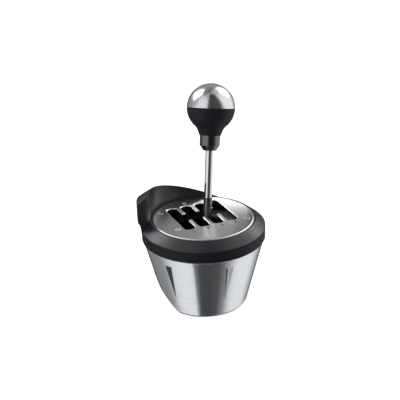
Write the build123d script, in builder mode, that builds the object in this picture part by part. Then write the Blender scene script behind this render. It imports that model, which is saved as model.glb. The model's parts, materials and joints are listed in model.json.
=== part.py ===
"""Sim racing gear shifter with an eight-slot gate, in millimetres, +Z up.

The origin is on the bowl's axis, in the plane that the rubber pad rests on. +Y points
forward, away from the driver, and +X to the driver's right. The lever stands in neutral,
in the plane of fifth and sixth gear.
"""

import os
from math import atan, atan2, cos, hypot, radians, sin, sqrt

from build123d import *

os.makedirs("parts", exist_ok=True)

# Driving dimensions
plate_top = 96.0  # top of the gate plate above the rest surface
plate_radius = 54.0
ring_radius = 66.0  # black band round the top of the bowl
bowl_top_radius = 65.0
bowl_base_radius = 46.5
wall = 2.0  # sheet of the bowl
knob_radius = 25.5
shaft_radius = 4.3
lever_length = 175.2  # from the pivot to the centre of the knob
pivot_x = -0.65
pivot_y = -3.8
pivot_z = 34.0
neutral_y = 10.0  # where the lever passes the plate's top in neutral

# Clearances
run_fit = 0.05  # radial, a shaft turning in its bush
slide_fit = 0.1  # radial, a stem in its guide or a screw in its hole
part_gap = 0.3  # between pieces that pass each other
overrun = 60.0  # how far a cutting tool runs past what it cuts

# Rubber pad under the base
pad_thickness = 1.5
pad_inset = 1.5

# Bowl
cut_azimuth = 150.0  # the side where a desk clamp passes under the bowl
cut_distance = 26.0  # from the axis to the slanted face, at the bowl's floor
cut_slope = 45.0
bowl_flange_width = 20.0  # from the bowl's top edge to the round opening in its flange
bowl_edge_radius = 1.2
dent_count = 6  # places round the bowl, of which the clamp side stays plain
dent_foot = 21.0  # height of a dent's tip
dent_head = 65.5  # height of a dent's upper end
dent_depth = 3.6
dent_half_width = 4.9
housing_screw_radius = 1.5
housing_screw_head = 2.8
housing_screw_head_height = 2.0
housing_screw_length = 9.0
housing_screw_inset = 15.0  # from the bowl's top edge
housing_screw_azimuths = (-120.0, -50.0, 15.0, 170.0)

# Black upper housing
lip_drop = 0.4
band_drop = 8.4  # from the plate's top to the top of the band
band_height = 12.0
band_bevel = 0.8
housing_wall = 3.0
deck_thickness = 2.5
deck_margin = 1.2  # from the gate's outline to the deck's opening
deck_corner = 6.0
boss_wall = 2.1
gate_boss_depth = 5.0

# Hood over the forward left of the ring, with a crest that falls to the right
hood_inner_radius = 56.0
hood_outer_radius = 69.6
hood_taper_foot = 6.0  # under the band's top, where the outer wall starts to lean out
hood_step_foot = 6.9  # over the band's top, where it steps out to its full radius
hood_step_head = 9.9
hood_step_inset = 2.0
hood_height = 60.0  # of the blank, before its top is cut
hood_rise = 11.75  # the crest over the plate, on the bowl's axis
crest_slope_x = -0.36
crest_slope_y = 0.04
crest_fall = 0.7  # fall of the top for each length outwards
crest_reach = 150.0  # radius where the cutting surface ends
hood_end = 12.5  # flat ends of the hood on the driver's side, from the axis
hood_corner_radius = 7.5  # where its inner wall turns into the left end

# Gate plate
plate_thickness = 2.5
plate_bevel = 1.2
gate_x = 1.5
column_pitch = 16.3
column_shares = (-1.5, -0.5, 0.5, 1.5)  # columns of the gate, in pitches
finger_width = 4.3
finger_tip_radius = 2.0
channel_near = 1.3
channel_far = 16.8
slot_far = 35.0
slot_near = -20.5
slot_end_radius = 4.6
gate_edge_bevel = 0.9
gate_screw_radius = 1.5
gate_screw_head = 3.0
gate_screw_sink = 1.5
gate_screw_length = 9.5
gate_screw_shares = (
    (-0.69, 0.53),
    (-0.66, -0.30),
    (0.73, -0.45),
    (0.78, 0.45),
    (-0.08, 0.76),
)

# Chassis
chassis_radius = 40.0
chassis_cut = 23.0
chassis_floor = 4.0
chassis_screw_radius = 2.0
chassis_screw_head = 3.6
chassis_screw_head_height = 2.4
chassis_screw_ring = 34.0
cheek_inner = 20.0  # from the pivot to the inner face of an upright
cheek_thickness = 5.0
cheek_half_width = 12.0
gusset_x = 9.0
gusset_width = 3.0
gusset_reach = 7.0
gusset_height = 11.0
insert_x = 22.0
insert_y = -9.0
insert_radius = 4.5
insert_bore = 3.0
insert_length = 8.5
insert_boss_radius = 7.0

# Cradle, axles and bushes
axle_radius = 4.0
bush_radius = 5.5
bush_flange_radius = 7.0
bush_flange = 0.6
cradle_half_x = 17.0
cradle_half_y = 18.5
cradle_inner_x = 11.0
cradle_inner_y = 12.5
cradle_rise = 7.0
cradle_fall = 6.5
cradle_corner = 3.0
pin_foot = 13.0
pin_reach = 27.0
axle_reach = 19.2
magnet_radius = 3.5
magnet_length = 3.0
clip_seat = 17.4
clip_thickness = 0.9
clip_groove_radius = 3.2
clip_radius = 4.7
clip_mouth = 4.6

# Sensor boards
board_thickness = 1.6
sensor_gap = 1.4
chip_size = 4.4
chip_height = 0.9
select_board_half_width = 12.0
select_board_half_height = 11.0
select_post_x = 8.5
select_post_drop = 8.0
board_post_radius = 2.4
shift_board_half_width = 7.5
shift_board_half_height = 7.0
shift_post_y = 5.0
shift_post_z = 4.5
shift_post_radius = 1.8
board_screw_radius = 1.0
board_screw_head = 1.7
board_screw_head_height = 1.1
board_screw_length = 6.0
board_drive_radius = 0.8

# Lever
hub_radius = 9.5
hub_half_length = 10.0
boss_radius = 6.5
boss_height = 22.0
tail_radius = 6.0
ball_radius = 16.0  # rounded foot of the lever, about the pivot
shaft_foot = 6.0
shaft_head_drop = 2.0  # from the knob's centre to the shaft's end
sleeve_radius = 4.65
sleeve_foot = 57.0
sleeve_head = 80.0
grub_radius = 2.0
grub_height = 14.5
grub_drive_radius = 1.1

# Knob, with heights taken from its centre
cap_wall = 3.2
split_gap = 0.4
spigot_radius = 22.0
spigot_rise = 2.5
waist_drop = 18.0  # where the round grip turns into its neck
neck_points = ((15.7, -20.1), (13.2, -24.3), (11.5, -29.0))
collar_radius = 10.85
collar_taper_drop = 39.3
collar_foot_radius = 7.1
collar_foot_drop = 44.8
knob_insert_radius = 6.5
knob_insert_top = 4.0

# Resistance adjuster
cup_radius = 9.5
cup_foot = 14.5
cup_rim_height = 20.5
cup_stem_radius = 6.0
cup_stem_foot = 10.5
guide_radius = 9.0
guide_height = 6.5
adjuster_radius = 4.0
adjuster_foot = 0.5
adjuster_seat = 8.0  # ledge under the disc springs
adjuster_socket = 2.5
adjuster_socket_depth = 3.5
disc_radius = 5.7
disc_bore = 3.0
disc_thickness = 0.7
disc_rise = 0.5

# Centring springs
spring_x = 14.0
spring_y = 13.0  # forward of the pivot
spring_radius = 3.9
spring_wire = 0.65
spring_turns = 4
spring_peg_radius = 2.6
spring_peg_height = 4.0

# Main board and cable socket
main_board_near = 37.0
main_board_far = 57.0
main_board_half_width = 17.0
main_board_lift = 0.8
main_post_x = 13.5
main_post_y = 40.0
socket_half_width = 6.0
socket_height = 9.0
socket_end = 65.4
socket_depth = 15.0
socket_wall = 1.2
processor_size = 9.0
processor_height = 1.2
processor_y = 46.0

# Screws for a desk clamp
clamp_screw_radius = 1.25
clamp_head_radius = 2.2
clamp_head_height = 1.3
clamp_drive_radius = 1.2
clamp_drive_depth = 0.8
clamp_screw_length = 5.0
upper_clamp_azimuth = 142.0
upper_clamp_height = 7.5  # over the plate's top
lower_clamp_azimuth = 156.0
lower_clamp_height = 30.0

# Levels and places that follow
bowl_floor = pad_thickness
chassis_base = bowl_floor + wall
chassis_top = chassis_base + chassis_floor
lip_top = plate_top - lip_drop
band_top = plate_top - band_drop
band_foot = band_top - band_height
flange_foot = band_foot - wall
deck_top = plate_top - plate_thickness
deck_foot = deck_top - deck_thickness
recess_radius = plate_radius + part_gap
flank_share = (bowl_top_radius - bowl_base_radius) / (band_foot - bowl_floor)
bowl_flange_radius = bowl_top_radius - bowl_flange_width
housing_screw_ring = bowl_top_radius - housing_screw_inset
column_xs = [gate_x + share * column_pitch for share in column_shares]
slot_width = column_pitch - finger_width
pivot = Vector(pivot_x, pivot_y, pivot_z)
lever_column = column_xs[2]
lever_arm = plate_top - pivot_z
select_board_face = pin_reach + magnet_length + sensor_gap
shift_board_face = axle_reach + magnet_length + sensor_gap
main_board_foot = band_foot + main_board_lift
main_board_top = main_board_foot + board_thickness
socket_top = main_board_top + socket_height
socket_near = socket_end - socket_depth

# The cradle is tilted to the rest column, and the lever leans forward in it
tilt = atan2(lever_column - pivot_x, lever_arm)
lean = atan((neutral_y - pivot_y) * cos(tilt) / lever_arm)
cradle_x_dir = Vector(cos(tilt), 0, -sin(tilt))
cradle_z_dir = Vector(sin(tilt), 0, cos(tilt))
lever_dir = Vector(cos(lean) * sin(tilt), sin(lean), cos(lean) * cos(tilt))
cradle_plane = Plane(origin=pivot, x_dir=cradle_x_dir, z_dir=cradle_z_dir)
axle_plane = Plane(origin=pivot, x_dir=(0, 1, 0), z_dir=cradle_x_dir)
lever_plane = Plane(origin=pivot, x_dir=cradle_x_dir, z_dir=lever_dir)
driver_dir = cradle_x_dir.cross(lever_dir)
lever_section = Plane(origin=pivot, x_dir=cradle_x_dir, z_dir=driver_dir)
lever_axis = Axis(pivot, lever_dir)


def flank_radius(height):
    """Outer radius of the bowl at a height."""
    return bowl_base_radius + (height - bowl_floor) * flank_share


def radial_plane(azimuth, height, radius=0.0, fall=0.0):
    """Plane at a radius from the bowl's axis that looks outwards, and down by a share."""
    outwards = Vector(cos(radians(azimuth)), sin(radians(azimuth)), 0)
    return Plane(
        origin=outwards * radius + Vector(0, 0, height),
        x_dir=(-outwards.Y, outwards.X, 0),
        z_dir=outwards - Vector(0, 0, fall),
    )


def slant_plane():
    """Slanted plane of the bowl's cut."""
    side = Vector(cos(radians(cut_azimuth)), sin(radians(cut_azimuth)), 0)
    foot = side * cut_distance + Vector(0, 0, bowl_floor)
    across, along = sin(radians(cut_slope)), cos(radians(cut_slope))
    return Plane(origin=foot, z_dir=side * across - Vector(0, 0, along))


def upright_plane(side, distance):
    """Plane across the select axis, before or behind the pivot, that looks away from it."""
    origin = pivot + Vector(0, side * distance, 0)
    return Plane(origin=origin, x_dir=(-side, 0, 0), z_dir=(0, side, 0))


def ring_places(radius, azimuths):
    """Points on a circle about the bowl's axis."""
    return [(radius * cos(radians(a)), radius * sin(radians(a))) for a in azimuths]


def both_ways(x, y):
    """Two points that mirror each other in the plane's Y axis."""
    return [(-x, y), (x, y)]


def head_screw(place, radius, head, head_height, length, drive, drive_depth):
    """Screw whose head sits on a plane, with a hexagonal recess."""
    with BuildPart() as screw:
        with BuildSketch(place):
            Circle(head)
        extrude(amount=head_height)
        with BuildSketch(place):
            Circle(radius)
        extrude(amount=-length)
        with BuildSketch(place.offset(head_height)):
            RegularPolygon(drive, 6)
        extrude(amount=-drive_depth, mode=Mode.SUBTRACT)
    return screw.part


def small_screw(place):
    """Screw that holds a circuit board."""
    return head_screw(
        place,
        board_screw_radius,
        board_screw_head,
        board_screw_head_height,
        board_screw_length,
        board_drive_radius,
        board_drive_radius,
    )


def save(piece, name):
    """Label a finished sub-part and write its file."""
    piece.part.label = name
    export_step(piece.part, f"parts/{name}.step")


housing_screw_places = ring_places(housing_screw_ring, housing_screw_azimuths)
gate_screw_places = [(a * plate_radius, b * plate_radius) for a, b in gate_screw_shares]
insert_places = both_ways(insert_x, insert_y)
open_azimuths = [cut_azimuth + 360.0 / dent_count * step for step in range(1, dent_count)]
chassis_screw_places = ring_places(chassis_screw_ring, open_azimuths)
spring_places = [(pivot_x + side * spring_x, pivot_y + spring_y) for side in (-1, 1)]
adjuster_place = (pivot_x, pivot_y)
clamp_screw_planes = (
    radial_plane(upper_clamp_azimuth, plate_top + upper_clamp_height, hood_outer_radius),
    radial_plane(
        lower_clamp_azimuth, lower_clamp_height, flank_radius(lower_clamp_height), flank_share
    ),
)


# Rubber pad that the shifter stands on
with BuildPart() as base_pad:
    with BuildSketch():
        Circle(bowl_base_radius - pad_inset)
        with Locations(insert_places):
            Circle(insert_radius, mode=Mode.SUBTRACT)
        with Locations(adjuster_place):
            Circle(adjuster_radius + part_gap, mode=Mode.SUBTRACT)
    extrude(amount=pad_thickness)
    side_plane = radial_plane(cut_azimuth, 0).offset(cut_distance - pad_inset)
    split(bisect_by=side_plane, keep=Keep.BOTTOM)
save(base_pad, "base_pad")


# Bowl of brushed metal: a cone with a slanted cut and V-shaped dents
def dent_tool(deeper):
    """Wedge that presses one dent, at azimuth zero, or its inner face when deeper."""
    backed = deeper * sqrt(2)
    inner = Vector(flank_radius(dent_head) - dent_depth - backed, 0, dent_head + deeper)
    tip = Vector(flank_radius(dent_foot) - backed, 0, dent_foot)
    spread = dent_half_width / dent_depth
    reach = 3 * dent_depth + deeper
    with BuildPart() as tool:
        with BuildSketch(Plane(origin=inner, x_dir=(0, 1, 0), z_dir=tip - inner)):
            with BuildLine():
                Polyline((0, 0), (reach * spread, reach), (-reach * spread, reach), close=True)
            make_face()
        extrude(amount=(tip - inner).length + overrun)
    return tool.part


def bowl_body(inset, low, high):
    """Solid cone of the bowl, inset by the thickness of its sheet, with cut and dents."""
    with BuildPart() as body:
        with BuildSketch(Plane.XZ):
            with BuildLine():
                Polyline(
                    (0, low),
                    (flank_radius(low) - inset, low),
                    (flank_radius(high) - inset, high),
                    (0, high),
                    close=True,
                )
            make_face()
        revolve(axis=Axis.Z)
        split(bisect_by=slant_plane().offset(-inset), keep=Keep.BOTTOM)
        if not inset:
            rim = body.faces().sort_by(Axis.Z)[0].edges()
            fillet(rim, bowl_edge_radius)
        for azimuth in open_azimuths:
            add(dent_tool(inset), rotation=(0, 0, azimuth), mode=Mode.SUBTRACT)
    return body.part


with BuildPart() as bowl_shell:
    add(bowl_body(0, bowl_floor, band_foot))
    add(bowl_body(wall, chassis_base, flange_foot), mode=Mode.SUBTRACT)
    with BuildSketch(Plane.XY.offset(flange_foot)):
        Circle(bowl_flange_radius)
        with Locations(housing_screw_places):
            Circle(housing_screw_radius + slide_fit)
    extrude(amount=wall, mode=Mode.SUBTRACT)
    with BuildSketch(Plane.XY.offset(bowl_floor)):
        with Locations(chassis_screw_places):
            Circle(chassis_screw_radius + slide_fit)
        with Locations(insert_places):
            Circle(insert_bore + slide_fit)
        with Locations(adjuster_place):
            Circle(adjuster_radius + part_gap)
    extrude(amount=wall, mode=Mode.SUBTRACT)
    with BuildSketch(clamp_screw_planes[1]):
        Circle(clamp_screw_radius)
    extrude(amount=-clamp_screw_length, mode=Mode.SUBTRACT)
save(bowl_shell, "bowl_shell")


# Gate plate: eight slots joined by the neutral channel
def gate_outline():
    """Opening of the gate in its plate, with rounded fingers and slot ends."""
    slot_middle = (slot_far + slot_near) / 2
    span = column_xs[-1] - column_xs[0] + slot_width
    with BuildSketch() as outline:
        with Locations([(x, slot_middle) for x in column_xs]):
            Rectangle(slot_width, slot_far - slot_near)
        with Locations((gate_x, (channel_near + channel_far) / 2)):
            Rectangle(span, channel_far - channel_near)
        rows = outline.vertices().group_by(Axis.Y)
        tips = [corner for row in rows[1:-1] for corner in row]
        fillet(tips, finger_tip_radius)
        rows = outline.vertices().group_by(Axis.Y)
        fillet(rows[0] + rows[-1], slot_end_radius)
    return outline.sketch


with BuildPart() as gate_plate:
    with BuildSketch(Plane.XY.offset(deck_top)):
        Circle(plate_radius)
        add(gate_outline(), mode=Mode.SUBTRACT)
        with Locations(gate_screw_places):
            Circle(gate_screw_radius + slide_fit, mode=Mode.SUBTRACT)
    extrude(amount=plate_thickness)
    top_face = gate_plate.faces().sort_by(Axis.Z)[-1]
    chamfer(top_face.outer_wire().edges(), plate_bevel)
    top_face = gate_plate.faces().sort_by(Axis.Z)[-1]
    slots = max(top_face.inner_wires(), key=lambda wire: wire.length)
    chamfer(slots.edges(), gate_edge_bevel)
    with BuildSketch(Plane.XY.offset(plate_top)):
        with Locations(gate_screw_places):
            Circle(gate_screw_head + slide_fit)
    extrude(amount=-gate_screw_sink, taper=45, mode=Mode.SUBTRACT)
save(gate_plate, "gate_plate")

with BuildPart() as gate_screws:
    with BuildSketch(Plane.XY.offset(plate_top)):
        with Locations(gate_screw_places):
            Circle(gate_screw_head)
    extrude(amount=-gate_screw_sink, taper=45)
    with BuildSketch(Plane.XY.offset(plate_top)):
        with Locations(gate_screw_places):
            Circle(gate_screw_radius)
    extrude(amount=-gate_screw_length)
    with BuildSketch(Plane.XY.offset(plate_top)):
        with Locations(gate_screw_places):
            RegularPolygon(grub_drive_radius, 6)
    extrude(amount=-gate_screw_sink, mode=Mode.SUBTRACT)
save(gate_screws, "gate_screws")


# Black upper housing: deck, sloping ring, band and the hood that grows out of them
def hood_blank():
    """Hood before it joins the ring: a wall that steps outward under its tilted crest."""
    with BuildPart() as crest_tool:
        for radius in (crest_reach, hood_inner_radius):
            fall = crest_fall * (radius - hood_inner_radius)
            share = hood_inner_radius / radius
            slope = Vector(crest_slope_x, crest_slope_y, 0) * share
            steepness = slope.length
            crest_plane = Plane(
                origin=(0, 0, plate_top + hood_rise - fall),
                x_dir=slope.normalized() + Vector(0, 0, steepness),
                z_dir=Vector(0, 0, 1) - slope,
            )
            with BuildSketch(crest_plane):
                Ellipse(radius * hypot(1, steepness), radius)
        loft(ruled=True)
    with BuildPart() as blank:
        with BuildSketch(Plane.XZ):
            with BuildLine():
                Polyline(
                    (hood_inner_radius, deck_top),
                    (ring_radius - housing_wall, band_top + band_bevel),
                    (ring_radius, band_top - hood_taper_foot),
                    (hood_outer_radius - hood_step_inset, band_top + hood_step_foot),
                    (hood_outer_radius, band_top + hood_step_head),
                    (hood_outer_radius, plate_top + hood_height),
                    (hood_inner_radius, plate_top + hood_height),
                    close=True,
                )
            make_face()
        revolve(axis=Axis.Z)
        split(bisect_by=Plane.XZ.offset(-hood_end), keep=Keep.BOTTOM)
        inner_edge = blank.edges().filter_by(Axis.Z).sort_by(Axis.X)[1]
        fillet(inner_edge, hood_corner_radius)
        add(crest_tool.part, mode=Mode.INTERSECT)
    return blank.part


with BuildPart() as upper_housing:
    with BuildSketch(Plane.XZ):
        with BuildLine():
            Polyline(
                (0, deck_foot),
                (0, deck_top),
                (recess_radius, deck_top),
                (recess_radius, lip_top),
                (hood_inner_radius, lip_top),
                (ring_radius - band_bevel, band_top + band_bevel),
                (ring_radius, band_top),
                (ring_radius, band_foot),
                (ring_radius - housing_wall, band_foot),
                (ring_radius - housing_wall, band_top - band_bevel),
                (hood_inner_radius + housing_wall, deck_foot),
                close=True,
            )
        make_face()
    revolve(axis=Axis.Z)
    add(hood_blank())
    opening_width = column_xs[-1] - column_xs[0] + slot_width + 2 * deck_margin
    opening_length = slot_far - slot_near + 2 * deck_margin
    with BuildSketch(Plane.XY.offset(deck_foot)):
        with Locations((gate_x, (slot_far + slot_near) / 2)):
            RectangleRounded(opening_width, opening_length, deck_corner)
    extrude(amount=deck_thickness, mode=Mode.SUBTRACT)
    with BuildSketch(Plane.XY.offset(band_foot)):
        with Locations(housing_screw_places):
            Circle(housing_screw_radius + boss_wall)
    extrude(amount=deck_foot - band_foot)
    with BuildSketch(Plane.XY.offset(band_foot)):
        with Locations(housing_screw_places):
            Circle(housing_screw_radius)
    extrude(amount=housing_screw_length, mode=Mode.SUBTRACT)
    with BuildSketch(Plane.XY.offset(deck_foot)):
        with Locations(gate_screw_places):
            Circle(gate_screw_radius + boss_wall)
    extrude(amount=-gate_boss_depth)
    with BuildSketch(Plane.XY.offset(deck_top)):
        with Locations(gate_screw_places):
            Circle(gate_screw_radius)
    extrude(amount=-gate_screw_length, mode=Mode.SUBTRACT)
    with BuildSketch(Plane.XY.offset(main_board_top)):
        with Locations(both_ways(main_post_x, main_post_y)):
            Circle(board_post_radius)
    extrude(amount=deck_foot - main_board_top)
    with BuildSketch(Plane.XY.offset(main_board_top)):
        with Locations(both_ways(main_post_x, main_post_y)):
            Circle(board_screw_radius)
    extrude(amount=board_screw_length, mode=Mode.SUBTRACT)
    with BuildSketch(Plane.XY.offset(main_board_top - part_gap)):
        with Locations((0, socket_near + overrun / 2)):
            Rectangle(2 * (socket_half_width + part_gap), overrun)
    extrude(amount=socket_height + 2 * part_gap, mode=Mode.SUBTRACT)
    with BuildSketch(clamp_screw_planes[0]):
        Circle(clamp_screw_radius)
    extrude(amount=-clamp_screw_length, mode=Mode.SUBTRACT)
save(upper_housing, "upper_housing")

with BuildPart() as housing_screws:
    for x, y in housing_screw_places:
        screw = head_screw(
            Plane(origin=(x, y, flange_foot), x_dir=(1, 0, 0), z_dir=(0, 0, -1)),
            housing_screw_radius,
            housing_screw_head,
            housing_screw_head_height,
            housing_screw_length,
            housing_screw_radius,
            housing_screw_radius,
        )
        add(screw)
save(housing_screws, "housing_screws")

with BuildPart() as clamp_screws:
    for place in clamp_screw_planes:
        screw = head_screw(
            place,
            clamp_screw_radius,
            clamp_head_radius,
            clamp_head_height,
            clamp_screw_length,
            clamp_drive_radius,
            clamp_drive_depth,
        )
        add(screw)
save(clamp_screws, "clamp_screws")


# Chassis inside the bowl: a base with two uprights that carry the cradle
with BuildPart() as chassis_frame:
    with BuildSketch(Plane.XY.offset(chassis_base)):
        Circle(chassis_radius)
    extrude(amount=chassis_floor)
    split(bisect_by=radial_plane(cut_azimuth, 0).offset(chassis_cut), keep=Keep.BOTTOM)
    with BuildSketch(Plane.XY.offset(chassis_base)):
        with Locations(insert_places):
            Circle(insert_boss_radius)
    extrude(amount=insert_length)
    with BuildSketch(Plane.XY.offset(chassis_top)):
        with Locations(adjuster_place):
            Circle(guide_radius)
    extrude(amount=guide_height)
    with BuildSketch(Plane.XY.offset(chassis_top)):
        with Locations(spring_places):
            Circle(spring_peg_radius)
    extrude(amount=spring_peg_height)
    for side in (-1, 1):
        with BuildSketch(upright_plane(side, cheek_inner)):
            Circle(cheek_half_width)
            with Locations((0, (chassis_top - pivot_z) / 2)):
                Rectangle(2 * cheek_half_width, pivot_z - chassis_top)
            Circle(bush_radius, mode=Mode.SUBTRACT)
        extrude(amount=cheek_thickness)
        foot = Vector(pivot_x, pivot_y + side * (cheek_inner + cheek_thickness), chassis_top)
        for x in (-gusset_x, gusset_x):
            origin = foot + Vector(x, 0, 0)
            with BuildSketch(Plane(origin=origin, x_dir=(0, side, 0), z_dir=(side, 0, 0))):
                with BuildLine():
                    Polyline((0, 0), (gusset_reach, 0), (0, gusset_height), close=True)
                make_face()
            extrude(amount=gusset_width / 2, both=True)
    with BuildSketch(upright_plane(-1, cheek_inner + cheek_thickness)):
        with Locations(both_ways(select_post_x, -select_post_drop)):
            Circle(board_post_radius)
    extrude(amount=select_board_face - cheek_inner - cheek_thickness)
    with BuildSketch(upright_plane(-1, select_board_face)):
        with Locations(both_ways(select_post_x, -select_post_drop)):
            Circle(board_screw_radius)
    extrude(amount=-board_screw_length, mode=Mode.SUBTRACT)
    with BuildSketch(Plane.XY.offset(adjuster_seat)):
        with Locations(adjuster_place):
            Circle(cup_stem_radius + slide_fit)
    extrude(amount=overrun / 4, mode=Mode.SUBTRACT)
    with BuildSketch(Plane.XY.offset(chassis_base)):
        with Locations(adjuster_place):
            Circle(adjuster_radius + run_fit)
        with Locations(chassis_screw_places):
            Circle(chassis_screw_radius + slide_fit)
    extrude(amount=adjuster_seat - chassis_base, mode=Mode.SUBTRACT)
    with BuildSketch(Plane.XY.offset(chassis_base)):
        with Locations(insert_places):
            Circle(insert_radius)
    extrude(amount=insert_length, mode=Mode.SUBTRACT)
save(chassis_frame, "chassis_frame")

with BuildPart() as chassis_screws:
    for x, y in chassis_screw_places:
        screw = head_screw(
            Plane(origin=(x, y, chassis_top)),
            chassis_screw_radius,
            chassis_screw_head,
            chassis_screw_head_height,
            chassis_top - bowl_floor,
            chassis_screw_radius,
            chassis_screw_radius,
        )
        add(screw)
save(chassis_screws, "chassis_screws")

with BuildPart() as mount_inserts:
    with BuildSketch(Plane.XY.offset(chassis_base)):
        with Locations(insert_places):
            Circle(insert_radius)
            Circle(insert_bore, mode=Mode.SUBTRACT)
    extrude(amount=insert_length)
save(mount_inserts, "mount_inserts")


# Bushes in the uprights and in the cradle's side walls
def flanged_bush(place, length):
    """Bush with its flange on a plane and its sleeve behind it."""
    with BuildPart() as bush:
        with BuildSketch(place):
            Circle(bush_flange_radius)
        extrude(amount=bush_flange)
        with BuildSketch(place):
            Circle(bush_radius)
        extrude(amount=-length)
        with BuildSketch(place.offset(bush_flange)):
            Circle(axle_radius + run_fit)
        extrude(amount=-length - bush_flange, mode=Mode.SUBTRACT)
    return bush.part


def facing_pivot(plane):
    """The same plane, turned to look the other way."""
    return Plane(origin=plane.origin, x_dir=plane.x_dir, z_dir=-plane.z_dir)


with BuildPart() as front_bush:
    add(flanged_bush(facing_pivot(upright_plane(1, cheek_inner)), cheek_thickness))
save(front_bush, "front_bush")

with BuildPart() as rear_bush:
    add(flanged_bush(facing_pivot(upright_plane(-1, cheek_inner)), cheek_thickness))
save(rear_bush, "rear_bush")

with BuildPart() as right_bush:
    inner_face = facing_pivot(axle_plane.offset(cradle_inner_x))
    add(flanged_bush(inner_face, cradle_half_x - cradle_inner_x))
save(right_bush, "right_bush")

with BuildPart() as left_bush:
    inner_face = axle_plane.offset(-cradle_inner_x)
    add(flanged_bush(inner_face, cradle_half_x - cradle_inner_x))
save(left_bush, "left_bush")


# Cradle, which tilts sideways on two pins and carries the lever's axle
with BuildPart() as select_cradle:
    with BuildSketch(cradle_plane.offset(-cradle_fall)):
        RectangleRounded(2 * cradle_half_x, 2 * cradle_half_y, cradle_corner)
        RectangleRounded(2 * cradle_inner_x, 2 * cradle_inner_y, cradle_corner, mode=Mode.SUBTRACT)
    extrude(amount=cradle_rise + cradle_fall)
    with BuildSketch(axle_plane.offset(cradle_half_x)):
        for z in (-shift_post_z, shift_post_z):
            with Locations(both_ways(shift_post_y, z)):
                Circle(shift_post_radius)
    extrude(amount=shift_board_face - cradle_half_x)
    with BuildSketch(axle_plane.offset(shift_board_face)):
        for z in (-shift_post_z, shift_post_z):
            with Locations(both_ways(shift_post_y, z)):
                Circle(board_screw_radius)
    extrude(amount=-board_screw_length, mode=Mode.SUBTRACT)
    with BuildSketch(upright_plane(1, 0)):
        Circle(axle_radius)
    extrude(amount=overrun, both=True, mode=Mode.SUBTRACT)
    with BuildSketch(axle_plane):
        Circle(bush_radius)
    extrude(amount=overrun, both=True, mode=Mode.SUBTRACT)
save(select_cradle, "select_cradle")

with BuildPart() as front_pin:
    with BuildSketch(upright_plane(1, pin_foot)):
        Circle(axle_radius)
    extrude(amount=pin_reach - pin_foot)
save(front_pin, "front_pin")

with BuildPart() as rear_pin:
    with BuildSketch(upright_plane(-1, pin_foot)):
        Circle(axle_radius)
    extrude(amount=pin_reach - pin_foot)
save(rear_pin, "rear_pin")


# Magnets and the boards that read them
with BuildPart() as select_magnet:
    with BuildSketch(upright_plane(-1, pin_reach)):
        Circle(magnet_radius)
    extrude(amount=magnet_length)
save(select_magnet, "select_magnet")

with BuildPart() as select_sensor_board:
    with BuildSketch(upright_plane(-1, select_board_face)):
        Rectangle(2 * select_board_half_width, 2 * select_board_half_height)
        with Locations(both_ways(select_post_x, -select_post_drop)):
            Circle(board_screw_radius, mode=Mode.SUBTRACT)
    extrude(amount=board_thickness)
    with BuildSketch(upright_plane(-1, select_board_face)):
        Rectangle(chip_size, chip_size)
    extrude(amount=-chip_height)
save(select_sensor_board, "select_sensor_board")

with BuildPart() as select_board_screws:
    outer_face = upright_plane(-1, select_board_face + board_thickness)
    for x, y in both_ways(select_post_x, -select_post_drop):
        origin = outer_face.from_local_coords((x, y, 0))
        add(small_screw(Plane(origin=origin, z_dir=outer_face.z_dir)))
save(select_board_screws, "select_board_screws")

with BuildPart() as shift_magnet:
    with BuildSketch(axle_plane.offset(axle_reach)):
        Circle(magnet_radius)
    extrude(amount=magnet_length)
save(shift_magnet, "shift_magnet")

with BuildPart() as shift_sensor_board:
    with BuildSketch(axle_plane.offset(shift_board_face)):
        Rectangle(2 * shift_board_half_width, 2 * shift_board_half_height)
        for z in (-shift_post_z, shift_post_z):
            with Locations(both_ways(shift_post_y, z)):
                Circle(board_screw_radius, mode=Mode.SUBTRACT)
    extrude(amount=board_thickness)
    with BuildSketch(axle_plane.offset(shift_board_face)):
        Rectangle(chip_size, chip_size)
    extrude(amount=-chip_height)
save(shift_sensor_board, "shift_sensor_board")

with BuildPart() as shift_board_screws:
    outer_face = axle_plane.offset(shift_board_face + board_thickness)
    for z in (-shift_post_z, shift_post_z):
        for x, y in both_ways(shift_post_y, z):
            origin = outer_face.from_local_coords((x, y, 0))
            add(small_screw(Plane(origin=origin, z_dir=outer_face.z_dir)))
save(shift_board_screws, "shift_board_screws")


# Lever: hub, axle and shaft
with BuildPart() as lever_hub:
    with BuildSketch(axle_plane):
        Circle(hub_radius)
    extrude(amount=hub_half_length, both=True)
    with BuildSketch(lever_plane):
        Circle(boss_radius)
    extrude(amount=boss_height)
    tail_edge = sqrt(ball_radius**2 - tail_radius**2)
    with BuildSketch(lever_section):
        with BuildLine():
            Polyline((0, -ball_radius), (0, 0), (tail_radius, 0), (tail_radius, -tail_edge))
            RadiusArc((tail_radius, -tail_edge), (0, -ball_radius), ball_radius)
        make_face()
    revolve(axis=lever_axis)
    with BuildSketch(lever_plane.offset(shaft_foot)):
        Circle(shaft_radius)
    extrude(amount=boss_height, mode=Mode.SUBTRACT)
    with BuildSketch(axle_plane):
        Circle(axle_radius)
    extrude(amount=overrun, both=True, mode=Mode.SUBTRACT)
    with BuildSketch(lever_section):
        with Locations((0, grub_height)):
            Circle(grub_radius)
    extrude(amount=overrun / 4, mode=Mode.SUBTRACT)
save(lever_hub, "lever_hub")

with BuildPart() as hub_grub_screw:
    with BuildSketch(lever_section.offset(shaft_radius)):
        with Locations((0, grub_height)):
            Circle(grub_radius)
    extrude(amount=boss_radius - shaft_radius)
    with BuildSketch(lever_section.offset(boss_radius)):
        with Locations((0, grub_height)):
            RegularPolygon(grub_drive_radius, 6)
    extrude(amount=-grub_drive_radius, mode=Mode.SUBTRACT)
save(hub_grub_screw, "hub_grub_screw")

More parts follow.
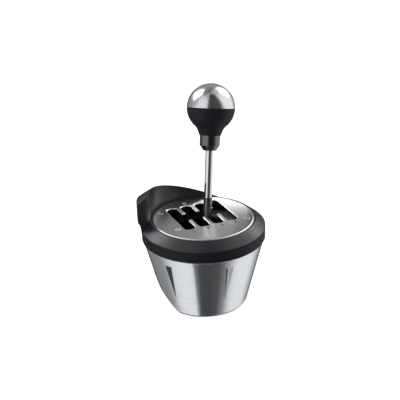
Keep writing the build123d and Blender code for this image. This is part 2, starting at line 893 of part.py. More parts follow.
with BuildPart() as shift_axle:
    with BuildSketch(axle_plane):
        Circle(axle_radius)
    extrude(amount=axle_reach, both=True)
    for seat in (clip_seat, -clip_seat - clip_thickness):
        with BuildSketch(axle_plane.offset(seat)):
            Circle(axle_radius)
            Circle(clip_groove_radius, mode=Mode.SUBTRACT)
        extrude(amount=clip_thickness, mode=Mode.SUBTRACT)
save(shift_axle, "shift_axle")

with BuildPart() as axle_circlips:
    for seat in (clip_seat, -clip_seat - clip_thickness):
        with BuildSketch(axle_plane.offset(seat)):
            Circle(clip_radius)
            Circle(clip_groove_radius + run_fit, mode=Mode.SUBTRACT)
            with Locations((0, -clip_radius)):
                Rectangle(clip_mouth, 2 * clip_radius, mode=Mode.SUBTRACT)
        extrude(amount=clip_thickness)
save(axle_circlips, "axle_circlips")

with BuildPart() as shift_shaft:
    with BuildSketch(lever_plane.offset(shaft_foot)):
        Circle(shaft_radius)
    extrude(amount=lever_length - shaft_head_drop - shaft_foot)
save(shift_shaft, "shift_shaft")

with BuildPart() as gate_sleeve:
    with BuildSketch(lever_plane.offset(sleeve_foot)):
        Circle(sleeve_radius)
        Circle(shaft_radius, mode=Mode.SUBTRACT)
    extrude(amount=sleeve_head - sleeve_foot)
save(gate_sleeve, "gate_sleeve")


# Knob, turned about the lever's axis
knob_plane = lever_section.shift_origin(pivot + lever_dir * lever_length)
waist_radius = sqrt(knob_radius**2 - waist_drop**2)
split_radius = sqrt(knob_radius**2 - split_gap**2)
inner_radius = knob_radius - cap_wall
neck_radius, neck_foot = neck_points[-1]

with BuildPart() as knob_cap:
    with BuildSketch(knob_plane):
        with BuildLine():
            RadiusArc((0, knob_radius), (knob_radius, 0), knob_radius)
            Line((knob_radius, 0), (inner_radius, 0))
            RadiusArc((inner_radius, 0), (0, inner_radius), -inner_radius)
            Line((0, inner_radius), (0, knob_radius))
        make_face()
    revolve(axis=lever_axis)
save(knob_cap, "knob_cap")

with BuildPart() as knob_grip:
    with BuildSketch(knob_plane):
        with BuildLine():
            Polyline(
                (knob_insert_radius, neck_foot),
                (knob_insert_radius, spigot_rise),
                (spigot_radius, spigot_rise),
                (spigot_radius, -split_gap),
                (split_radius, -split_gap),
            )
            RadiusArc((split_radius, -split_gap), (waist_radius, -waist_drop), knob_radius)
            Spline((waist_radius, -waist_drop), *neck_points)
            Line((neck_radius, neck_foot), (knob_insert_radius, neck_foot))
        make_face()
    revolve(axis=lever_axis)
save(knob_grip, "knob_grip")

with BuildPart() as knob_insert:
    with BuildSketch(knob_plane):
        with BuildLine():
            Polyline(
                (shaft_radius, neck_foot),
                (knob_insert_radius, neck_foot),
                (knob_insert_radius, knob_insert_top),
                (0, knob_insert_top),
                (0, -shaft_head_drop),
                (shaft_radius, -shaft_head_drop),
                close=True,
            )
        make_face()
    revolve(axis=lever_axis)
save(knob_insert, "knob_insert")

with BuildPart() as knob_collar:
    with BuildSketch(knob_plane):
        with BuildLine():
            Polyline(
                (shaft_radius, neck_foot),
                (collar_radius, neck_foot),
                (collar_radius, -collar_taper_drop),
                (collar_foot_radius, -collar_foot_drop),
                (shaft_radius, -collar_foot_drop),
                close=True,
            )
        make_face()
    revolve(axis=lever_axis)
save(knob_collar, "knob_collar")


# Friction cup under the lever's foot, on disc springs over the adjuster
with BuildPart() as friction_cup:
    with BuildSketch(Plane.XY.offset(cup_foot)):
        with Locations(adjuster_place):
            Circle(cup_radius)
    extrude(amount=cup_rim_height - cup_foot)
    with BuildSketch(Plane.XY.offset(cup_stem_foot)):
        with Locations(adjuster_place):
            Circle(cup_stem_radius)
    extrude(amount=cup_foot - cup_stem_foot)
    with Locations(pivot):
        Sphere(ball_radius + part_gap, mode=Mode.SUBTRACT)
save(friction_cup, "friction_cup")

with BuildPart() as disc_springs:
    low, high = adjuster_seat, cup_stem_foot
    middle = (low + high) / 2
    disc_plane = Plane(origin=(pivot_x, pivot_y, 0), x_dir=(1, 0, 0), z_dir=(0, -1, 0))
    for start, toward in ((low, 1), (high, -1)):
        with BuildSketch(disc_plane):
            with BuildLine():
                Polyline(
                    (disc_radius, start + toward * disc_rise),
                    (disc_radius, middle),
                    (disc_bore, middle - toward * disc_rise),
                    (disc_bore, start),
                    close=True,
                )
            make_face()
        revolve(axis=Axis(disc_plane.origin, (0, 0, 1)))
save(disc_springs, "disc_springs")

with BuildPart() as resistance_screw:
    with BuildSketch(Plane.XY.offset(adjuster_foot)):
        with Locations(adjuster_place):
            Circle(adjuster_radius)
    extrude(amount=adjuster_seat - part_gap - adjuster_foot)
    with BuildSketch(Plane.XY.offset(adjuster_foot)):
        with Locations(adjuster_place):
            RegularPolygon(adjuster_socket, 6)
    extrude(amount=adjuster_socket_depth, mode=Mode.SUBTRACT)
save(resistance_screw, "resistance_screw")


# Centring springs between the chassis and the cradle's front wall
def centring_spring(place, side):
    """Compression spring on its peg, as tall as the tilted cradle leaves room for."""
    nearest = side * spring_x + spring_radius + spring_wire
    under = pivot - cradle_z_dir * cradle_fall + cradle_x_dir * min(nearest, cradle_half_x)
    rise = under.Z - part_gap - chassis_top - 2 * spring_wire
    foot = (*place, chassis_top + spring_wire)
    with BuildPart() as spring:
        with BuildLine() as path:
            Helix(rise / spring_turns, rise, spring_radius, center=foot)
        with BuildSketch(path.line ^ 0):
            Circle(spring_wire)
        sweep(path=path.line, is_frenet=True)
    return spring.part


with BuildPart() as left_centring_spring:
    add(centring_spring(spring_places[0], -1))
save(left_centring_spring, "left_centring_spring")

with BuildPart() as right_centring_spring:
    add(centring_spring(spring_places[1], 1))
save(right_centring_spring, "right_centring_spring")


# Main board under the deck, with the socket for the data cable
with BuildPart() as main_board:
    with BuildSketch(Plane.XY.offset(main_board_foot)):
        with Locations((0, (main_board_near + main_board_far) / 2)):
            Rectangle(2 * main_board_half_width, main_board_far - main_board_near)
        with Locations(both_ways(main_post_x, main_post_y)):
            Circle(board_screw_radius, mode=Mode.SUBTRACT)
    extrude(amount=board_thickness)
    with BuildSketch(Plane.XY.offset(main_board_top)):
        with Locations((0, processor_y - processor_size / 2)):
            Rectangle(processor_size, processor_size)
    extrude(amount=processor_height)
save(main_board, "main_board")

with BuildPart() as main_board_screws:
    for x, y in both_ways(main_post_x, main_post_y):
        below = Plane(origin=(x, y, main_board_foot), x_dir=(1, 0, 0), z_dir=(0, 0, -1))
        add(small_screw(below))
save(main_board_screws, "main_board_screws")

with BuildPart() as usb_socket:
    socket_plane = Plane(
        origin=(0, socket_near, main_board_top + socket_height / 2),
        x_dir=(-1, 0, 0),
        z_dir=(0, 1, 0),
    )
    with BuildSketch(socket_plane):
        Rectangle(2 * socket_half_width, socket_height)
    extrude(amount=socket_depth)
    with BuildSketch(socket_plane.offset(socket_wall)):
        Rectangle(2 * (socket_half_width - socket_wall), socket_height - 2 * socket_wall)
    extrude(amount=socket_depth, mode=Mode.SUBTRACT)
save(usb_socket, "usb_socket")
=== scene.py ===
import json
from math import cos, hypot, pi, radians, sin

import bpy
from mathutils import Matrix, Vector


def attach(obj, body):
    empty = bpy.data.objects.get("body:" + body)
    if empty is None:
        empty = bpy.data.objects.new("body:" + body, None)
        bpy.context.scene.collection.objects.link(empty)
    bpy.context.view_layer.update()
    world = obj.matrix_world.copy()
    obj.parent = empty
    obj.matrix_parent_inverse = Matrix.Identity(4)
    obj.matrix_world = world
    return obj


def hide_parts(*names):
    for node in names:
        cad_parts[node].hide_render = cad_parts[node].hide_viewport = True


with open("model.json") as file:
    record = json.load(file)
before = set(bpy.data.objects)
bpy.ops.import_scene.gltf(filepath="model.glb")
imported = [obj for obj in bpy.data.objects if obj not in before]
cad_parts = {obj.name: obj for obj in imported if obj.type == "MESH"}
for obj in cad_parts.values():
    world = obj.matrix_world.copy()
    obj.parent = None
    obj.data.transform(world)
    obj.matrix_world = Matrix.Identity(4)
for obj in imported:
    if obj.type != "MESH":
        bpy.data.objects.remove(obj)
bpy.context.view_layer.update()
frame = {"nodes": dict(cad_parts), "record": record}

MM = 0.001

# Heights on the object, in millimetres
PLATE_TOP = 96.0
BAND_TOP = 87.6  # where the ring starts to slope
BAND_FOOT = 75.6


# Camera of the photograph
def set_camera():
    """Camera on the driver's left, a little above the knob."""
    camera = bpy.data.cameras.new("photo_camera")
    camera.lens = 67.86
    camera.sensor_width = 36.0
    camera.shift_x = -0.0079
    camera.shift_y = 0.0422
    camera_object = bpy.data.objects.new("photo_camera", camera)
    bpy.context.scene.collection.objects.link(camera_object)
    place = Vector((-0.29448, -0.6614, 0.43634))
    look = Vector((0, 0, PLATE_TOP * MM)) - place
    turn = look.to_track_quat("-Z", "Y").to_matrix().to_4x4()
    roll = Matrix.Rotation(radians(-1.557), 4, "Z")
    camera_object.matrix_world = Matrix.Translation(place) @ turn @ roll
    bpy.context.scene.camera = camera_object


# Helpers for node trees
def wire(tree, *pairs):
    """Link each output to its input."""
    for source, target in pairs:
        tree.links.new(source, target)


def add_node(tree, kind, **settings):
    """New node with its properties set."""
    node = tree.nodes.new(kind)
    for key, value in settings.items():
        setattr(node, key, value)
    return node


def value_range(tree, source, old, new):
    """Map Range node from one pair of numbers to another."""
    node = add_node(tree, "ShaderNodeMapRange")
    node.inputs["From Min"].default_value, node.inputs["From Max"].default_value = old
    node.inputs["To Min"].default_value, node.inputs["To Max"].default_value = new
    wire(tree, (source, node.inputs["Value"]))
    return node.outputs["Result"]


# Node groups that several finishes share
def new_group(name, inputs, outputs):
    """Empty shader group with named number sockets, and the nodes at its two ends."""
    group = bpy.data.node_groups.new(name, "ShaderNodeTree")
    for label, start in inputs:
        socket = group.interface.new_socket(
            name=label, in_out="INPUT", socket_type="NodeSocketFloat"
        )
        socket.default_value = start
    for label in outputs:
        group.interface.new_socket(name=label, in_out="OUTPUT", socket_type="NodeSocketFloat")
    return group, add_node(group, "NodeGroupInput"), add_node(group, "NodeGroupOutput")


def turned_grain():
    """Fine rings round the Z axis, as on spun or turned metal."""
    group, source, target = new_group(
        "turned_grain", [("Rings", 900.0), ("Streaks", 1.5)], ["Grain", "Cloud"]
    )
    place = add_node(group, "ShaderNodeTexCoord")
    split = add_node(group, "ShaderNodeSeparateXYZ")
    angle = add_node(group, "ShaderNodeMath", operation="ARCTAN2")
    spread = add_node(group, "ShaderNodeMath", operation="MULTIPLY")
    height = add_node(group, "ShaderNodeMath", operation="MULTIPLY")
    join = add_node(group, "ShaderNodeCombineXYZ")
    rings = add_node(group, "ShaderNodeTexNoise")
    rings.inputs["Scale"].default_value = 1.0
    rings.inputs["Detail"].default_value = 4.0
    cloud = add_node(group, "ShaderNodeTexNoise")
    cloud.inputs["Scale"].default_value = 28.0
    cloud.inputs["Detail"].default_value = 2.0
    wire(
        group,
        (place.outputs["Object"], split.inputs[0]),
        (split.outputs["Y"], angle.inputs[0]),
        (split.outputs["X"], angle.inputs[1]),
        (angle.outputs[0], spread.inputs[0]),
        (source.outputs["Streaks"], spread.inputs[1]),
        (split.outputs["Z"], height.inputs[0]),
        (source.outputs["Rings"], height.inputs[1]),
        (spread.outputs[0], join.inputs["X"]),
        (height.outputs[0], join.inputs["Y"]),
        (join.outputs[0], rings.inputs["Vector"]),
        (place.outputs["Object"], cloud.inputs["Vector"]),
        (rings.outputs["Fac"], target.inputs["Grain"]),
        (cloud.outputs["Fac"], target.inputs["Cloud"]),
    )
    return group


def straight_grain():
    """Fine straight lines along X, as on brushed sheet."""
    group, source, target = new_group(
        "straight_grain", [("Lines", 1600.0), ("Streaks", 12.0)], ["Grain", "Cloud"]
    )
    place = add_node(group, "ShaderNodeTexCoord")
    split = add_node(group, "ShaderNodeSeparateXYZ")
    along = add_node(group, "ShaderNodeMath", operation="MULTIPLY")
    across = add_node(group, "ShaderNodeMath", operation="MULTIPLY")
    join = add_node(group, "ShaderNodeCombineXYZ")
    lines = add_node(group, "ShaderNodeTexNoise")
    lines.inputs["Scale"].default_value = 1.0
    lines.inputs["Detail"].default_value = 4.0
    cloud = add_node(group, "ShaderNodeTexNoise")
    cloud.inputs["Scale"].default_value = 35.0
    wire(
        group,
        (place.outputs["Object"], split.inputs[0]),
        (split.outputs["X"], along.inputs[0]),
        (source.outputs["Streaks"], along.inputs[1]),
        (split.outputs["Y"], across.inputs[0]),
        (source.outputs["Lines"], across.inputs[1]),
        (along.outputs[0], join.inputs["X"]),
        (across.outputs[0], join.inputs["Y"]),
        (join.outputs[0], lines.inputs["Vector"]),
        (place.outputs["Object"], cloud.inputs["Vector"]),
        (lines.outputs["Fac"], target.inputs["Grain"]),
        (cloud.outputs["Fac"], target.inputs["Cloud"]),
    )
    return group


def moulded_skin():
    """Fine pebble of a moulded or soft-coated surface, with faint uneven gloss."""
    group, source, target = new_group(
        "moulded_skin", [("Pebble", 1800.0)], ["Grain", "Cloud"]
    )
    place = add_node(group, "ShaderNodeTexCoord")
    pebble = add_node(group, "ShaderNodeTexNoise")
    pebble.inputs["Detail"].default_value = 2.0
    cloud = add_node(group, "ShaderNodeTexNoise")
    cloud.inputs["Scale"].default_value = 40.0
    wire(
        group,
        (place.outputs["Object"], pebble.inputs["Vector"]),
        (source.outputs["Pebble"], pebble.inputs["Scale"]),
        (place.outputs["Object"], cloud.inputs["Vector"]),
        (pebble.outputs["Fac"], target.inputs["Grain"]),
        (cloud.outputs["Fac"], target.inputs["Cloud"]),
    )
    return group


GROUPS = {"turned": turned_grain(), "straight": straight_grain(), "skin": moulded_skin()}


def finish_material(name, dark, light, group, rough, relief, settings, group_values=()):
    """Principled finish whose colour, gloss and fine relief follow one of the groups.

    rough is the least and the most roughness, and relief is a strength and a depth in mm.
    """
    material = bpy.data.materials.new(name)
    material.use_nodes = True
    tree = material.node_tree
    shader = tree.nodes["Principled BSDF"]
    for socket, value in settings.items():
        shader.inputs[socket].default_value = value
    pattern = add_node(tree, "ShaderNodeGroup")
    pattern.node_tree = GROUPS[group]
    for socket, value in group_values:
        pattern.inputs[socket].default_value = value
    grain = pattern.outputs["Grain"]
    colour = add_node(tree, "ShaderNodeMix", data_type="RGBA")
    colour.inputs["A"].default_value = (*dark, 1)
    colour.inputs["B"].default_value = (*light, 1)
    gloss = value_range(tree, pattern.outputs["Cloud"], (0, 1), rough)
    bump = add_node(tree, "ShaderNodeBump")
    bump.inputs["Strength"].default_value = relief[0]
    bump.inputs["Distance"].default_value = relief[1] * MM
    wire(
        tree,
        (grain, colour.inputs["Factor"]),
        (colour.outputs["Result"], shader.inputs["Base Color"]),
        (gloss, shader.inputs["Roughness"]),
        (grain, bump.inputs["Height"]),
        (bump.outputs["Normal"], shader.inputs["Normal"]),
    )
    return material


METAL = {"Metallic": 1.0}
finishes = {
    "brushed_metal": finish_material(
        "brushed_bowl", (0.64, 0.665, 0.705), (0.78, 0.80, 0.83), "turned", (0.18, 0.26),
        (0.12, 0.04), {**METAL, "Anisotropic": 0.7, "Anisotropic Rotation": 0.25},
    ),
    "gate_metal": finish_material(
        "brushed_gate_plate", (0.52, 0.53, 0.545), (0.76, 0.77, 0.78), "straight", (0.2, 0.26),
        (0.10, 0.03), {**METAL, "Anisotropic": 0.4},
    ),
    "black_plastic": finish_material(
        "satin_black_housing", (0.010, 0.011, 0.0135), (0.017, 0.0185, 0.022), "skin",
        (0.26, 0.34), (0.06, 0.03), {"Specular IOR Level": 0.6},
    ),
    "black_rubber": finish_material(
        "foot_rubber", (0.012, 0.012, 0.012), (0.03, 0.03, 0.03), "skin", (0.7, 0.85),
        (0.3, 0.1), {}, [("Pebble", 900.0)],
    ),
    "soft_grip": finish_material(
        "soft_black_grip", (0.004, 0.0045, 0.006), (0.008, 0.0095, 0.0135), "skin", (0.5, 0.6),
        (0.1, 0.04), {"Specular IOR Level": 0.22},
    ),
    "knob_metal": finish_material(
        "satin_knob_cap", (0.68, 0.69, 0.71), (0.81, 0.82, 0.84), "turned", (0.17, 0.23),
        (0.05, 0.02), METAL,
    ),
    "shaft_chrome": finish_material(
        "polished_shaft", (0.72, 0.72, 0.73), (0.8, 0.8, 0.8), "turned", (0.06, 0.1),
        (0.02, 0.01), METAL,
    ),
    "sleeve_steel": finish_material(
        "gunmetal_sleeve", (0.13, 0.13, 0.14), (0.19, 0.19, 0.2), "turned", (0.26, 0.34),
        (0.05, 0.02), METAL,
    ),
    "collar_black": finish_material(
        "black_chrome_collar", (0.13, 0.13, 0.135), (0.18, 0.18, 0.185), "turned", (0.14, 0.2),
        (0.02, 0.01), METAL,
    ),
    "dark_steel": finish_material(
        "blackened_screws", (0.06, 0.06, 0.062), (0.11, 0.11, 0.112), "turned", (0.3, 0.4),
        (0.05, 0.02), METAL,
    ),
    "frame_metal": finish_material(
        "dark_anodised_frame", (0.035, 0.036, 0.04), (0.06, 0.062, 0.066), "straight", (0.35, 0.5),
        (0.1, 0.04), METAL,
    ),
    "bearing_bronze": finish_material(
        "sintered_bronze", (0.42, 0.3, 0.16), (0.58, 0.44, 0.26), "skin", (0.35, 0.5),
        (0.1, 0.04), METAL,
    ),
    "steel_parts": finish_material(
        "ground_steel", (0.5, 0.5, 0.52), (0.62, 0.62, 0.63), "turned", (0.2, 0.3),
        (0.05, 0.02), METAL,
    ),
    "board_black": finish_material(
        "circuit_board", (0.010, 0.013, 0.012), (0.022, 0.028, 0.025), "straight", (0.3, 0.4),
        (0.05, 0.03), {}, [("Lines", 700.0), ("Streaks", 300.0)],
    ),
    "socket_steel": finish_material(
        "plated_socket", (0.5, 0.51, 0.52), (0.62, 0.63, 0.64), "straight", (0.25, 0.35),
        (0.05, 0.02), METAL,
    ),
    "bright_screws": finish_material(
        "bright_screws", (0.78, 0.78, 0.78), (0.88, 0.88, 0.88), "turned", (0.1, 0.16),
        (0.05, 0.02), METAL,
    ),
    # Paler, rougher metal for the plate's bevels: the paler colour is a painted highlight
    "edge_painted_highlight": finish_material(
        "pale_edge_painted_highlight", (0.84, 0.84, 0.84), (0.95, 0.95, 0.95), "straight", (0.42, 0.5),
        (0.05, 0.02), METAL,
    ),
    # Same black plastic as the housing, less glossy and darker on the upright band: the darker
    # colour is painted shade
    "band_with_painted_shade": finish_material(
        "painted_shade_black_band", (0.004, 0.0045, 0.006), (0.009, 0.010, 0.013), "skin", (0.5, 0.6),
        (0.1, 0.03), {"Specular IOR Level": 0.15},
    ),
    # Dark, rough, non-metal finish for the inner wall and floor of the metal bowl
    "dark_bowl_inside": finish_material(
        "dark_nonmetal_bowl_inside", (0.012, 0.012, 0.013), (0.025, 0.025, 0.027), "turned", (0.5, 0.6),
        (0.05, 0.02), {},
    ),
    "number_ink": finish_material(
        "etched_number", (0.02, 0.02, 0.022), (0.05, 0.05, 0.052), "skin", (0.4, 0.5),
        (0.05, 0.02), {},
    ),
    "magnet_nickel": finish_material(
        "nickel_magnet", (0.6, 0.58, 0.54), (0.7, 0.68, 0.64), "skin", (0.15, 0.22),
        (0.03, 0.02), METAL,
    ),
}


def roughen_top_edge(material, heights, gain):
    """Rougher, paler line where the bowl's wall meets the band, between two heights in mm."""
    tree = material.node_tree
    shader = tree.nodes["Principled BSDF"]
    plain = shader.inputs["Roughness"].links[0].from_socket
    place = add_node(tree, "ShaderNodeTexCoord")
    split = add_node(tree, "ShaderNodeSeparateXYZ")
    total = add_node(tree, "ShaderNodeMath", operation="ADD")
    metres = [height * MM for height in heights]
    wire(
        tree,
        (place.outputs["Object"], split.inputs[0]),
        (value_range(tree, split.outputs["Z"], metres, (0, gain)), total.inputs[0]),
        (plain, total.inputs[1]),
        (total.outputs[0], shader.inputs["Roughness"]),
    )


roughen_top_edge(finishes["brushed_metal"], (BAND_FOOT - 2.0, BAND_FOOT - 1.2), 0.4)


SLOTS = {part["node"]: part["material_slot"] for part in frame["record"]["subparts"]}


def dress_cad_nodes():
    """Give each CAD node the finish of its slot."""
    for name, slot in SLOTS.items():
        node = frame["nodes"][name]
        node.data.materials.clear()
        node.data.materials.append(finishes[slot])


dress_cad_nodes()
for screws in ("gate_screws", "clamp_screws"):
    frame["nodes"][screws].data.materials[0] = finishes["bright_screws"]


# Pieces whose edges catch the light
MERGE_DISTANCE = 0.002  # mm between the corners of the CAD node's loose triangles
FLAT_ANGLE = 0.5  # degrees below which neighbouring triangles are one flat face


def rounded_copy(node_name, width, angle, cut_height=None):
    """Copy of a CAD node in its place, with the edges sharper than an angle rounded.

    Where a second finish, such as the band's painted shade, ends halfway up a plain wall, the wall
    is cut at that height.
    Width and height are in mm.
    """
    source = frame["nodes"][node_name]
    copy = source.copy()
    copy.data = source.data.copy()
    copy.parent = None
    copy.name = "rounded_" + node_name
    bpy.context.scene.collection.objects.link(copy)
    bpy.ops.object.select_all(action="DESELECT")
    copy.select_set(True)
    bpy.context.view_layer.objects.active = copy
    bpy.ops.object.mode_set(mode="EDIT")
    bpy.ops.mesh.select_all(action="SELECT")
    bpy.ops.mesh.remove_doubles(threshold=MERGE_DISTANCE * MM)
    bpy.ops.mesh.dissolve_limited(angle_limit=radians(FLAT_ANGLE))
    if cut_height:
        bpy.ops.mesh.select_all(action="SELECT")
        bpy.ops.mesh.bisect(plane_co=(0, 0, cut_height * MM), plane_no=(0, 0, 1))
    bpy.ops.object.mode_set(mode="OBJECT")
    edge = copy.modifiers.new("edge", "BEVEL")
    edge.width = width * MM
    edge.segments = 3
    edge.limit_method = "ANGLE"
    edge.angle_limit = radians(angle)
    bpy.ops.object.modifier_apply(modifier="edge")
    bpy.ops.object.shade_smooth()
    flats = copy.modifiers.new("flats", "WEIGHTED_NORMAL")
    flats.weight = 100
    bpy.ops.object.modifier_apply(modifier="flats")
    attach(copy, "body")
    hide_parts(node_name)
    return copy


def second_finish(piece, finish, wanted):
    """Another finish on the faces that a test of their centre and normal picks; below it also
    carries painted highlight and painted shade.
    """
    piece.data.materials.append(finishes[finish])
    for face in piece.data.polygons:
        if wanted(face.center / MM, face.normal):
            face.material_index = 1


def plate_bevels_painted_highlight(centre, normal):
    """Bevels of the rim and of the slots on the plate's upper side, whose paler metal is a painted
    highlight.
    """
    return 0.12 < normal.z < 0.97 and centre.z > PLATE_TOP - 3


def band_painted_shade_faces(centre, normal):
    """Upright outer wall below the sloping ring, which gets a darker copy of the housing's black:
    painted shade.
    """
    upright = abs(normal.z) < 0.4
    return upright and centre.z < BAND_TOP + 0.2 and hypot(centre.x, centre.y) > 60


def bowl_inside(centre, normal):
    """Inner wall and floor of the bowl, which are given a dark, rough, non-metal finish."""
    inward = centre.x * normal.x + centre.y * normal.y < 0
    upward = normal.z > 0.9
    return inward and centre.z < BAND_FOOT - 0.1 or upward and centre.z < BAND_FOOT - 0.6


# The plate's bevels get a paler metal, a painted highlight
second_finish(rounded_copy("gate_plate", 0.3, 30), "edge_painted_highlight", plate_bevels_painted_highlight)
second_finish(rounded_copy("bowl_shell", 0.5, 18), "dark_bowl_inside", bowl_inside)
# The band below the ring gets a darker, less glossy copy of the housing's black, a painted shade
second_finish(rounded_copy("upper_housing", 0.6, 24, BAND_TOP), "band_with_painted_shade", band_painted_shade_faces)
rounded_copy("gate_screws", 0.45, 30)


# Gear numbers on the gate plate
SLOT_COLUMNS = (-22.95, -6.65, 9.65, 25.95)  # mm across the plate
NUMBER_ROWS = ((41, "1357"), (-26.5, "246R"))  # mm along the plate, and the numbers there


def gear_number(sign, x, y):
    """Small dark number beside a slot's end, a hair proud of the plate."""
    bpy.ops.object.select_all(action="DESELECT")
    bpy.ops.object.text_add(location=(x * MM, y * MM, PLATE_TOP * MM))
    number = bpy.context.object
    number.name = "gear_number_" + sign
    number.data.body = sign
    number.data.size = 7.5 * MM
    number.data.offset = 0.08 * MM
    number.data.extrude = 0.03 * MM
    number.data.align_x = "CENTER"
    number.data.align_y = "CENTER"
    bpy.ops.object.convert(target="MESH")
    bpy.ops.object.transform_apply(location=True, rotation=True, scale=True)
    number.data.materials.append(finishes["number_ink"])
    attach(number, "body")


for row, signs in NUMBER_ROWS:
    for column, sign in zip(SLOT_COLUMNS, signs):
        gear_number(sign, column, row)


# Studio
def plain_emitter(name, strength):
    """White material that glows by itself."""
    material = bpy.data.materials.new(name)
    material.use_nodes = True
    tree = material.node_tree
    tree.nodes.remove(tree.nodes["Principled BSDF"])
    glow = add_node(tree, "ShaderNodeEmission")
    glow.inputs["Strength"].default_value = strength
    wire(tree, (glow.outputs[0], tree.nodes["Material Output"].inputs["Surface"]))
    return material


def only_in_reflections(panel):
    """Studio surface that glossy rays alone can see."""
    panel.visible_camera = False
    panel.visible_diffuse = False
    panel.visible_shadow = False
    panel.visible_transmission = False


def card(name, azimuth, distance, height, width, tall, grey):
    """Upright studio card that only reflections see, at an azimuth in degrees."""
    bpy.ops.object.select_all(action="DESELECT")
    bpy.ops.mesh.primitive_plane_add(size=1.0)
    panel = bpy.context.object
    panel.name = name
    side = Vector((cos(radians(azimuth)), sin(radians(azimuth)), 0))
    place = side * distance + Vector((0, 0, height))
    panel.matrix_world = (
        Matrix.Translation(place)
        @ Matrix.Rotation(radians(azimuth + 90), 4, "Z")
        @ Matrix.Rotation(radians(90), 4, "X")
        @ Matrix.Diagonal((width, tall, 1, 1))
    )
    bpy.ops.object.transform_apply(location=True, rotation=True, scale=True)
    panel.data.materials.append(plain_emitter(name, grey))
    only_in_reflections(panel)


# Azimuth in degrees round the studio, and the grey of the tent's cloth there, first from
# below the object to just above its height and then higher up
LOW_GREYS = (
    (-180, 1.0), (-142, 1.0), (-136, 0.06), (-76, 0.08), (-60, 0.25), (-34, 1.0), (8, 1.0),
    (30, 0.3), (46, 0.05), (88, 0.05), (102, 0.25), (140, 0.3), (162, 0.85), (180, 1.0),
)
HIGH_GREYS = (
    (-180, 0.9), (-136, 0.9), (-129, 0.06), (-62, 0.07), (-46, 1.0), (35, 1.0),
    (50, 0.32), (82, 0.3), (100, 0.35), (160, 0.45), (174, 0.85), (180, 0.9),
)


def cloth_greys(tree, turn, greys):
    """Ramp that gives the greys of one height round the tent."""
    ramp = add_node(tree, "ShaderNodeValToRGB")
    stops = ramp.color_ramp.elements
    while len(stops) < len(greys):
        stops.new(0.5)
    for stop, (azimuth, grey) in zip(stops, greys):
        stop.position = (azimuth + 180) / 360
        stop.color = (grey, grey, grey, 1)
    wire(tree, (turn, ramp.inputs["Fac"]))
    return ramp.outputs["Color"]


CHANGE_SLOPES = (0.14, 0.34)  # rise over reach where the low greys give way to the high
OVERHEAD_SLOPES = (1.1, 2.6)  # rise over reach where the cloth darkens overhead
OVERHEAD_SHADE = 0.5


def hang_tent():
    """Drum of pale and dark cloth all round the object, seen in reflections only."""
    bpy.ops.object.select_all(action="DESELECT")
    bpy.ops.mesh.primitive_cylinder_add(vertices=96, radius=1.9, depth=4.8, end_fill_type="NGON")
    tent = bpy.context.object
    tent.name = "tent"
    bpy.ops.object.transform_apply(location=True, rotation=True, scale=True)
    material = bpy.data.materials.new("tent_cloth")
    material.use_nodes = True
    tree = material.node_tree
    tree.nodes.remove(tree.nodes["Principled BSDF"])
    place = add_node(tree, "ShaderNodeTexCoord")
    split = add_node(tree, "ShaderNodeSeparateXYZ")
    angle = add_node(tree, "ShaderNodeMath", operation="ARCTAN2")
    flat = add_node(tree, "ShaderNodeCombineXYZ")
    reach = add_node(tree, "ShaderNodeVectorMath", operation="LENGTH")
    climb = add_node(tree, "ShaderNodeMath", operation="DIVIDE")
    blend = add_node(tree, "ShaderNodeMix", data_type="RGBA")
    glow = add_node(tree, "ShaderNodeEmission")
    wire(
        tree,
        (place.outputs["Object"], split.inputs[0]),
        (split.outputs["X"], flat.inputs["X"]),
        (split.outputs["Y"], flat.inputs["Y"]),
        (flat.outputs[0], reach.inputs[0]),
        (split.outputs["Z"], climb.inputs[0]),
        (reach.outputs["Value"], climb.inputs[1]),
        (split.outputs["Y"], angle.inputs[0]),
        (split.outputs["X"], angle.inputs[1]),
    )
    turn = value_range(tree, angle.outputs[0], (-pi, pi), (0, 1))
    high = value_range(tree, climb.outputs[0], CHANGE_SLOPES, (0, 1))
    shade = value_range(tree, climb.outputs[0], OVERHEAD_SLOPES, (1, OVERHEAD_SHADE))
    wire(
        tree,
        (high, blend.inputs["Factor"]),
        (cloth_greys(tree, turn, LOW_GREYS), blend.inputs["A"]),
        (cloth_greys(tree, turn, HIGH_GREYS), blend.inputs["B"]),
        (blend.outputs["Result"], glow.inputs["Color"]),
        (shade, glow.inputs["Strength"]),
        (glow.outputs[0], tree.nodes["Material Output"].inputs["Surface"]),
    )
    tent.data.materials.append(material)
    only_in_reflections(tent)


LAMP_TARGET = Vector((0, 0, 0.1))  # metres, just over the gate plate


def area_lamp(name, place, size, power, mirrored=True):
    """Soft lamp that looks at the object. Metal shows it only if it is mirrored."""
    lamp = bpy.data.lights.new(name, "AREA")
    lamp.shape = "RECTANGLE"
    lamp.size, lamp.size_y = size
    lamp.energy = power
    lamp_object = bpy.data.objects.new(name, lamp)
    bpy.context.scene.collection.objects.link(lamp_object)
    turn = (LAMP_TARGET - Vector(place)).to_track_quat("-Z", "Y").to_matrix().to_4x4()
    lamp_object.matrix_world = Matrix.Translation(Vector(place)) @ turn
    lamp_object.visible_glossy = mirrored


def white_where_seen(tree, plain, seen):
    """Mix of two shaders: the second where a camera, glossy or transmission ray meets it."""
    light_path = add_node(tree, "ShaderNodeLightPath")
    first = add_node(tree, "ShaderNodeMath", operation="MAXIMUM")
    both = add_node(tree, "ShaderNodeMath", operation="MAXIMUM")
    mix = add_node(tree, "ShaderNodeMixShader")
    wire(
        tree,
        (light_path.outputs["Is Camera Ray"], first.inputs[0]),
        (light_path.outputs["Is Glossy Ray"], first.inputs[1]),
        (first.outputs[0], both.inputs[0]),
        (light_path.outputs["Is Transmission Ray"], both.inputs[1]),
        (both.outputs[0], mix.inputs["Fac"]),
        (plain, mix.inputs[1]),
        (seen, mix.inputs[2]),
    )
    return mix.outputs[0]


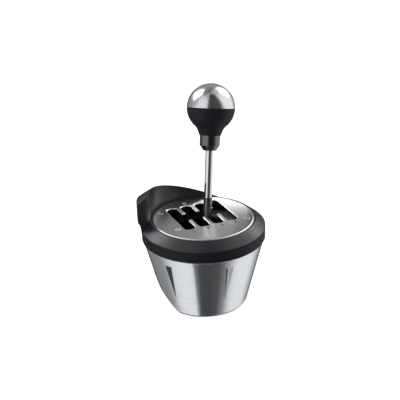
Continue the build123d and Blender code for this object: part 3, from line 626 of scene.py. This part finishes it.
def set_world():
    """White surroundings, brighter to the eye and to metal than as a light."""
    world = bpy.data.worlds.new("studio")
    bpy.context.scene.world = world
    world.use_nodes = True
    tree = world.node_tree
    ambient = tree.nodes["Background"]
    ambient.inputs["Color"].default_value = (1, 1, 1, 1)
    ambient.inputs["Strength"].default_value = 0.55
    backdrop = add_node(tree, "ShaderNodeBackground")
    backdrop.inputs["Color"].default_value = (1, 1, 1, 1)
    backdrop.inputs["Strength"].default_value = 1.0
    seen = white_where_seen(tree, ambient.outputs[0], backdrop.outputs[0])
    wire(tree, (seen, tree.nodes["World Output"].inputs["Surface"]))


def lay_floor():
    """Pale floor that keeps the object's shadow."""
    bpy.ops.object.select_all(action="DESELECT")
    bpy.ops.mesh.primitive_circle_add(vertices=96, radius=4.0, fill_type="NGON")
    floor = bpy.context.object
    floor.name = "studio_floor"
    material = bpy.data.materials.new("white_floor")
    material.use_nodes = True
    tree = material.node_tree
    paint = tree.nodes["Principled BSDF"]
    paint.inputs["Base Color"].default_value = (0.8, 0.8, 0.8, 1)
    paint.inputs["Roughness"].default_value = 0.9
    paint.inputs["Specular IOR Level"].default_value = 0.0
    glow = add_node(tree, "ShaderNodeEmission")
    glow.inputs["Strength"].default_value = 0.56
    lifted = add_node(tree, "ShaderNodeAddShader")
    wire(tree, (paint.outputs[0], lifted.inputs[0]), (glow.outputs[0], lifted.inputs[1]))
    seen = white_where_seen(tree, paint.outputs[0], lifted.outputs[0])
    wire(tree, (seen, tree.nodes["Material Output"].inputs["Surface"]))
    floor.data.materials.append(material)
    floor.visible_glossy = False


set_camera()
set_world()
lay_floor()
hang_tent()
area_lamp("top_softbox", (-0.3, -0.3, 1.7), (1.4, 1.4), 5, mirrored=False)
area_lamp("left_softbox", (-1.5, -0.5, 0.9), (1.0, 1.4), 11, mirrored=False)
area_lamp("right_softbox", (1.5, -0.6, 0.6), (1.0, 1.2), 8, mirrored=False)
area_lamp("left_back_softbox", (-0.50, 0.80, 0.98), (0.7, 0.8), 6)
area_lamp("right_back_softbox", (0.96, 0.35, 0.9), (0.6, 0.75), 3.5)
card("white_plate_card", 58, 0.121, 0.126, 0.078, 0.026, 2.2)
card("dark_plate_card", 40.6, 0.133, 0.160, 0.04, 0.036, 0.05)

bpy.context.scene.view_settings.view_transform = "Standard"
